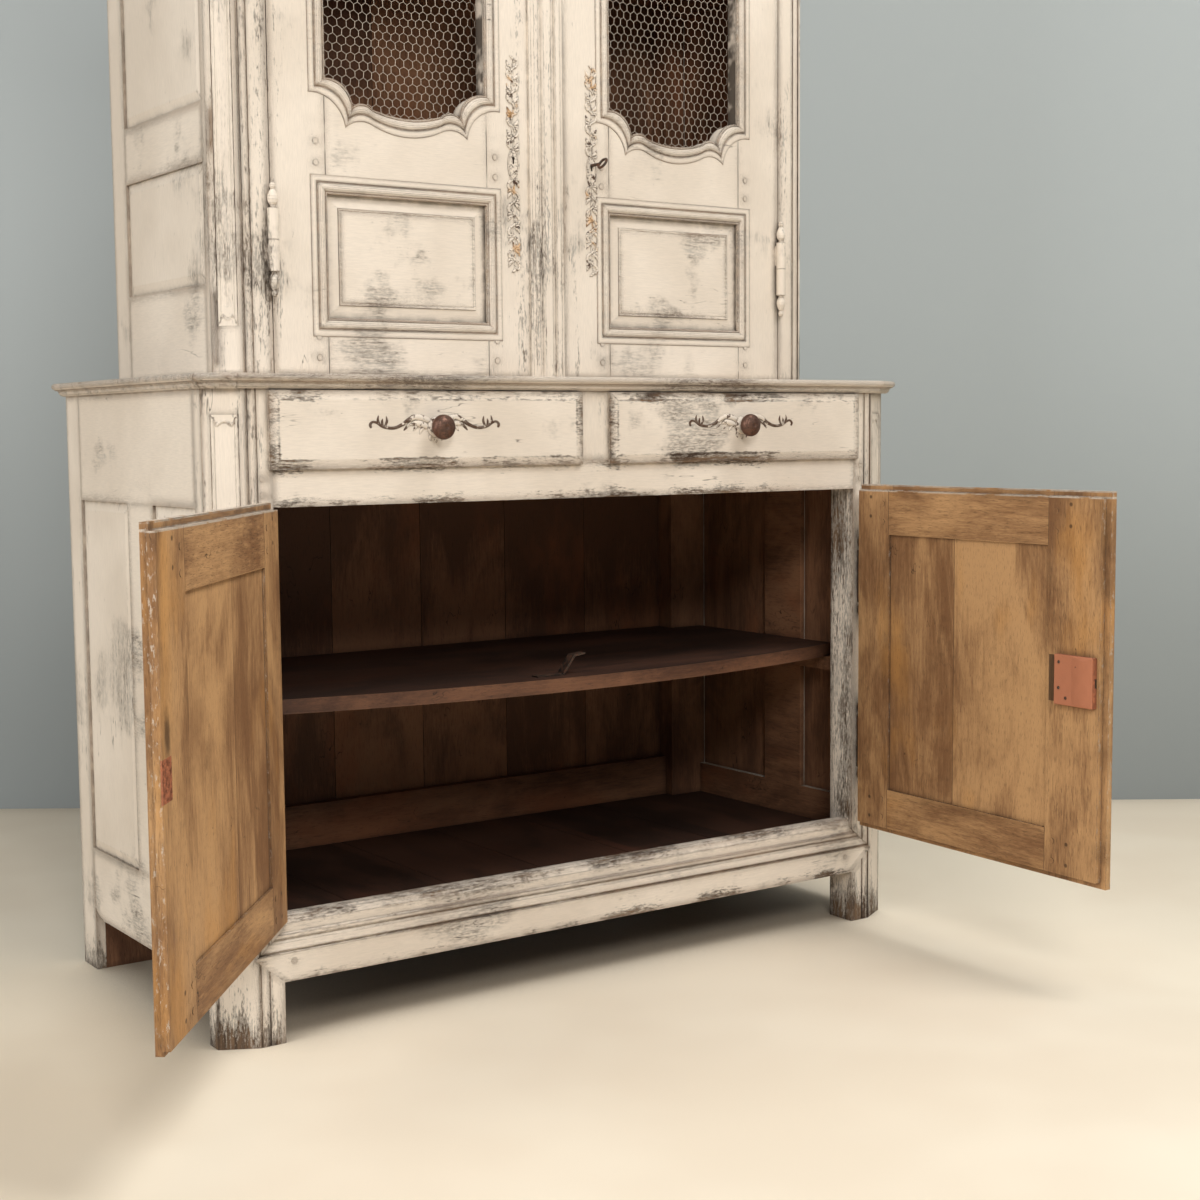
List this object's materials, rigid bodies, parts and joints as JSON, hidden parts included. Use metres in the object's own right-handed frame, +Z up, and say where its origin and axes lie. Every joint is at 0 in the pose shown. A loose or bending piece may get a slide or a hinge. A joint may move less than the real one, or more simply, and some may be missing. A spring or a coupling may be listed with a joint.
{
  "type": "two-part cupboard",
  "caption": "Painted two-part cupboard: a set-back upper body with wire-mesh doors on a lower body with drawers and panelled doors standing open.",
  "frame": {"origin": "on the floor under the middle of the lower body (half its width and half its carcase depth)", "axes": "+X to the right seen from the front, +Y from the front to the back, +Z up; the doors face -Y"},
  "size_m": [1.6174, 1.2083, 2.24],
  "materials": {
    "cream_paint": "worn matt cream paint on oak",
    "bare_oak": "waxed bare oak",
    "dark_oak": "dark old oak",
    "iron": "wrought iron, worn paint",
    "rusty_iron": "rusty iron",
    "bronze": "dark aged bronze",
    "wire": "dull galvanised wire"
  },
  "bodies": {
    "base": {"base_front_post_left": "cream_paint", "base_front_post_right": "cream_paint", "base_rear_posts": "cream_paint", "base_bottom_rail": "cream_paint", "base_apron_rail": "cream_paint", "base_drawer_divider": "cream_paint", "base_side_rails": "cream_paint", "base_side_panels": "cream_paint", "base_back_rails": "dark_oak", "base_back_boards": "dark_oak", "base_floor_boards": "dark_oak", "base_cleats": "dark_oak", "base_shelf": "dark_oak", "shelf_catch": "iron", "drawer_runners": "dark_oak", "base_top_board": "cream_paint", "base_pegs": "cream_paint", "lower_hinge_pins": "iron", "upper_front_post_left": "cream_paint", "upper_front_post_right": "cream_paint", "upper_rear_posts": "cream_paint", "upper_side_rails": "cream_paint", "upper_side_panels": "cream_paint", "upper_floor_board": "dark_oak", "upper_shelves": "dark_oak", "upper_cleats": "dark_oak", "upper_back_boards": "dark_oak", "upper_roof_board": "dark_oak", "upper_frieze_rail": "cream_paint", "upper_cornice": "cream_paint", "upper_hinge_pins": "iron"},
    "lower_left_door": {"lower_left_frame": "bare_oak", "lower_left_panel": "bare_oak", "lower_left_knuckles": "iron", "lower_left_keeper": "rusty_iron"},
    "lower_right_door": {"lower_right_frame": "bare_oak", "lower_right_panel": "bare_oak", "lower_right_knuckles": "iron", "lower_lock_case": "rusty_iron"},
    "lower_bolt": {"lower_lock_bolt": "iron"},
    "upper_left_door": {"upper_left_frame": "cream_paint", "upper_left_panel": "cream_paint", "upper_left_mesh": "wire", "upper_left_knuckles": "iron", "upper_left_escutcheon": "iron", "upper_left_batten": "cream_paint"},
    "upper_right_door": {"upper_right_frame": "cream_paint", "upper_right_panel": "cream_paint", "upper_right_mesh": "wire", "upper_right_knuckles": "iron", "upper_right_escutcheon": "iron", "upper_lock_case": "iron"},
    "upper_bolt": {"upper_lock_bolt": "iron"},
    "key": {"upper_key": "iron"},
    "left_drawer": {"left_drawer_front": "cream_paint", "left_drawer_box": "dark_oak", "left_drawer_pull": "bronze"},
    "right_drawer": {"right_drawer_front": "cream_paint", "right_drawer_box": "dark_oak", "right_drawer_pull": "bronze"}
  },
  "joints": [
    {"name": "lower_left_hinge", "type": "hinge", "parent": "base", "child": "lower_left_door", "pos_m": [-0.579, -0.305, 0.335], "axis": [0, 0, -1], "range_deg": [-129, 21]},
    {"name": "lower_right_hinge", "type": "hinge", "parent": "base", "child": "lower_right_door", "pos_m": [0.579, -0.305, 0.335], "axis": [0, 0, 1], "range_deg": [-87.5, 62.5]},
    {"name": "lower_bolt_slide", "type": "slide", "parent": "lower_right_door", "child": "lower_bolt", "axis": [-0.0436, -0.999, 0], "range_m": [0, 0.01]},
    {"name": "upper_left_hinge", "type": "hinge", "parent": "base", "child": "upper_left_door", "pos_m": [-0.49875, -0.1763, 1.189], "axis": [0, 0, -1], "range_deg": [0, 150]},
    {"name": "upper_right_hinge", "type": "hinge", "parent": "base", "child": "upper_right_door", "pos_m": [0.49875, -0.1763, 1.189], "axis": [0, 0, 1], "range_deg": [0, 150]},
    {"name": "key_turn", "type": "hinge", "parent": "upper_right_door", "child": "key", "pos_m": [0.0884, -0.15, 1.343], "axis": [0, -1, 0], "range_deg": [0, 360]},
    {"name": "upper_bolt_slide", "type": "slide", "parent": "upper_right_door", "child": "upper_bolt", "axis": [-1, 0, 0], "range_m": [0, 0.01]},
    {"name": "left_drawer_slide", "type": "slide", "parent": "base", "child": "left_drawer", "axis": [0, -1, 0], "range_m": [0, 0.35]},
    {"name": "right_drawer_slide", "type": "slide", "parent": "base", "child": "right_drawer", "axis": [0, -1, 0], "range_m": [0, 0.35]}
  ],
  "couplings": [
    {"joint": "upper_bolt_slide", "follows": "key_turn", "m_per_rad": 0.0015915}
  ]
}
